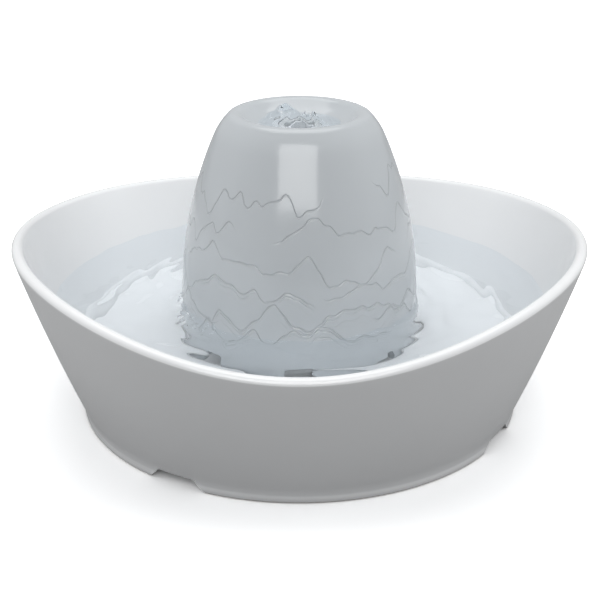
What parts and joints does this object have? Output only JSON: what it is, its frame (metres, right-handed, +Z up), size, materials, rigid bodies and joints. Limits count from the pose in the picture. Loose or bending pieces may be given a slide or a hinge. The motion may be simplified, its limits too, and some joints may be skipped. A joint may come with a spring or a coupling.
{
  "type": "pet water fountain",
  "caption": "Round ceramic pet drinking fountain: wide bowl with a wavy flared rim, and a tall dome over a filter box and pump that feed a dished top.",
  "frame": {"origin": "middle of the bowl's foot, on the surface it stands on", "axes": "+Z up; -Y towards the camera of the picture; +X to its right; the rim is highest just in front of +X and -X"},
  "size_m": [0.2948, 0.2848, 0.1575],
  "materials": {
    "white_glaze": "clear gloss glaze over white, satin outside",
    "grey_glaze": "cool grey gloss glaze over incised lines",
    "clear_silicone": "translucent silicone",
    "black_rubber": "matt",
    "box_plastic": "fine moulded satin",
    "black_foam": "open-cell foam",
    "cartridge_plastic": "moulded",
    "pouch_cloth": "non-woven filter cloth",
    "charcoal": "activated charcoal granules",
    "pump_plastic": "fine moulded satin",
    "slider_plastic": "moulded",
    "rotor_plastic": "moulded",
    "ferrite": "ground ferrite",
    "shaft_ceramic": "ground white ceramic",
    "core_steel": "stacked laminations",
    "bobbin_plastic": "moulded",
    "copper_wire": "enamelled copper wire"
  },
  "bodies": {
    "base": {"bowl": "white_glaze", "cord_grommet": "black_rubber"},
    "dome": {"dome": "grey_glaze", "dome_seal": "clear_silicone"},
    "filter_box": {"pump_box": "box_plastic"},
    "lid": {"pump_box_lid": "box_plastic"},
    "pump": {"pump_housing": "pump_plastic", "pump_back_plate": "pump_plastic", "pump_front_cover": "pump_plastic", "chamber_seal": "black_rubber", "intake_cover": "pump_plastic", "pump_shaft": "shaft_ceramic", "shaft_bush_front": "black_rubber", "shaft_bush_rear": "black_rubber", "stator_core": "core_steel", "coil_bobbin": "bobbin_plastic", "coil_windings": "copper_wire", "suction_feet": "black_rubber", "pump_cord_gland": "black_rubber", "riser_tube": "box_plastic"},
    "foam": {"foam_filter": "black_foam"},
    "cartridge": {"filter_frame": "cartridge_plastic", "filter_pouch": "pouch_cloth", "charcoal_fill": "charcoal"},
    "rotor": {"impeller": "rotor_plastic", "rotor_magnet": "ferrite"},
    "slider": {"flow_slider": "slider_plastic"}
  },
  "joints": [
    {"name": "dome_lift", "type": "slide", "parent": "base", "child": "dome", "axis": [0, 0, 1], "range_m": [0, 0.29]},
    {"name": "box_lift", "type": "slide", "parent": "base", "child": "filter_box", "axis": [0, 0, 1], "range_m": [0, 0.08]},
    {"name": "lid_lift", "type": "slide", "parent": "filter_box", "child": "lid", "axis": [0, 0, 1], "range_m": [0, 0.075]},
    {"name": "pump_lift", "type": "slide", "parent": "filter_box", "child": "pump", "axis": [0, 0, 1], "range_m": [0, 0.056]},
    {"name": "foam_lift", "type": "slide", "parent": "filter_box", "child": "foam", "axis": [0, 0, 1], "range_m": [0, 0.056]},
    {"name": "cartridge_lift", "type": "slide", "parent": "filter_box", "child": "cartridge", "axis": [0, 0, 1], "range_m": [0, 0.056]},
    {"name": "impeller_spin", "type": "hinge", "parent": "pump", "child": "rotor", "pos_m": [0.018, 0, 0.044], "axis": [1, 0, 0], "continuous": true},
    {"name": "slider_slide", "type": "slide", "parent": "pump", "child": "slider", "axis": [0, 1, 0], "range_m": [0, 0.008]}
  ],
  "couplings": [
    {"joint": "box_lift", "follows": "dome_lift", "ratio": 0.27586},
    {"joint": "lid_lift", "follows": "dome_lift", "ratio": 0.25862},
    {"joint": "pump_lift", "follows": "dome_lift", "ratio": 0.1931},
    {"joint": "foam_lift", "follows": "dome_lift", "ratio": 0.1931},
    {"joint": "cartridge_lift", "follows": "dome_lift", "ratio": 0.1931}
  ]
}
